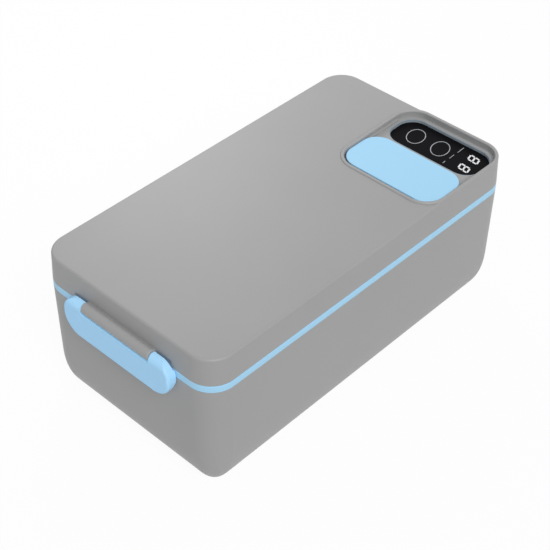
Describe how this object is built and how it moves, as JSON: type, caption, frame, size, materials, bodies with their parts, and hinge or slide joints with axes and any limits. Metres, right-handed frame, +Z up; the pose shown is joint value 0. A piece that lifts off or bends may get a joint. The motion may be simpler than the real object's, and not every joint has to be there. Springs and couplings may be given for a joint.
{
  "type": "electric lunch box",
  "caption": "Long rectangular heated food box with a hinged lid, a front snap latch, and a sunken corner control panel beside a hinged inlet cover.",
  "frame": {"origin": "middle of the footprint, on the surface the feet stand on", "axes": "+Z up, +Y along the length towards the lid hinge, -Y towards the latch, +X towards the long side that the control panel is on"},
  "size_m": [0.125, 0.244, 0.0945],
  "materials": {
    "shell_grey": "fine matte texture",
    "sky_blue": "fine matte texture",
    "liner_white": "satin",
    "inner_white": "satin",
    "seal": "soft matte",
    "valve": "soft matte",
    "foot_rubber": "matte",
    "stainless": "brushed",
    "screw_steel": "zinc plated",
    "pan_aluminium": "drawn",
    "heater_mat": "ribbed silicone",
    "felt": "fibre felt",
    "black_part": "moulded",
    "ceramic_part": "fired",
    "contact_brass": "gold plated",
    "lead_red": "silicone sleeve",
    "lead_white": "silicone sleeve",
    "board_green": "solder mask",
    "display_white": "moulded",
    "panel_black": "gloss with white print",
    "panel_seal": "soft matte"
  },
  "bodies": {
    "base": {"base_shell": "shell_grey", "bottom_cover": "shell_grey", "bottom_screws": "screw_steel", "rubber_feet": "foot_rubber", "rim_collar": "sky_blue", "collar_screws": "screw_steel", "heating_pan": "pan_aluminium", "heater_plate": "heater_mat", "heater_clamp": "screw_steel", "clamp_nuts": "screw_steel", "insulation_pad": "felt", "thermostat": "black_part", "thermal_fuse": "ceramic_part", "temperature_sensor": "stainless", "power_leads": "lead_red", "sensor_lead": "lead_white", "base_contact_block": "black_part", "base_contacts": "contact_brass", "food_container": "stainless", "container_divider": "stainless", "hinge_pin": "stainless"},
    "lid": {"lid_shell": "shell_grey", "lid_liner": "liner_white", "lid_screws": "screw_steel", "inner_lid": "inner_white", "lid_gasket": "seal", "steam_valve": "valve", "control_board": "board_green", "board_parts": "black_part", "board_screws": "screw_steel", "digit_display": "display_white", "touch_springs": "contact_brass", "buzzer": "black_part", "touch_panel": "panel_black", "panel_gasket": "panel_seal", "power_socket": "black_part", "socket_contacts": "contact_brass", "cover_pin": "stainless", "lid_contact_block": "black_part", "lid_contact_pins": "contact_brass", "lid_leads": "lead_red", "latch_pin": "stainless"},
    "latch": {"latch": "sky_blue"},
    "cover": {"socket_cover": "sky_blue"}
  },
  "joints": [
    {"name": "lid_hinge", "type": "hinge", "parent": "base", "child": "lid", "pos_m": [0, 0.1193, 0.0766], "axis": [-1, 0, 0], "range_deg": [0, 95]},
    {"name": "latch_hinge", "type": "hinge", "parent": "lid", "child": "latch", "pos_m": [0, -0.1187, 0.0792], "axis": [-1, 0, 0], "range_deg": [0, 130]},
    {"name": "cover_hinge", "type": "hinge", "parent": "lid", "child": "cover", "pos_m": [0.02705, 0.0802, 0.0906], "axis": [-1, 0, 0], "range_deg": [0, 95]}
  ]
}
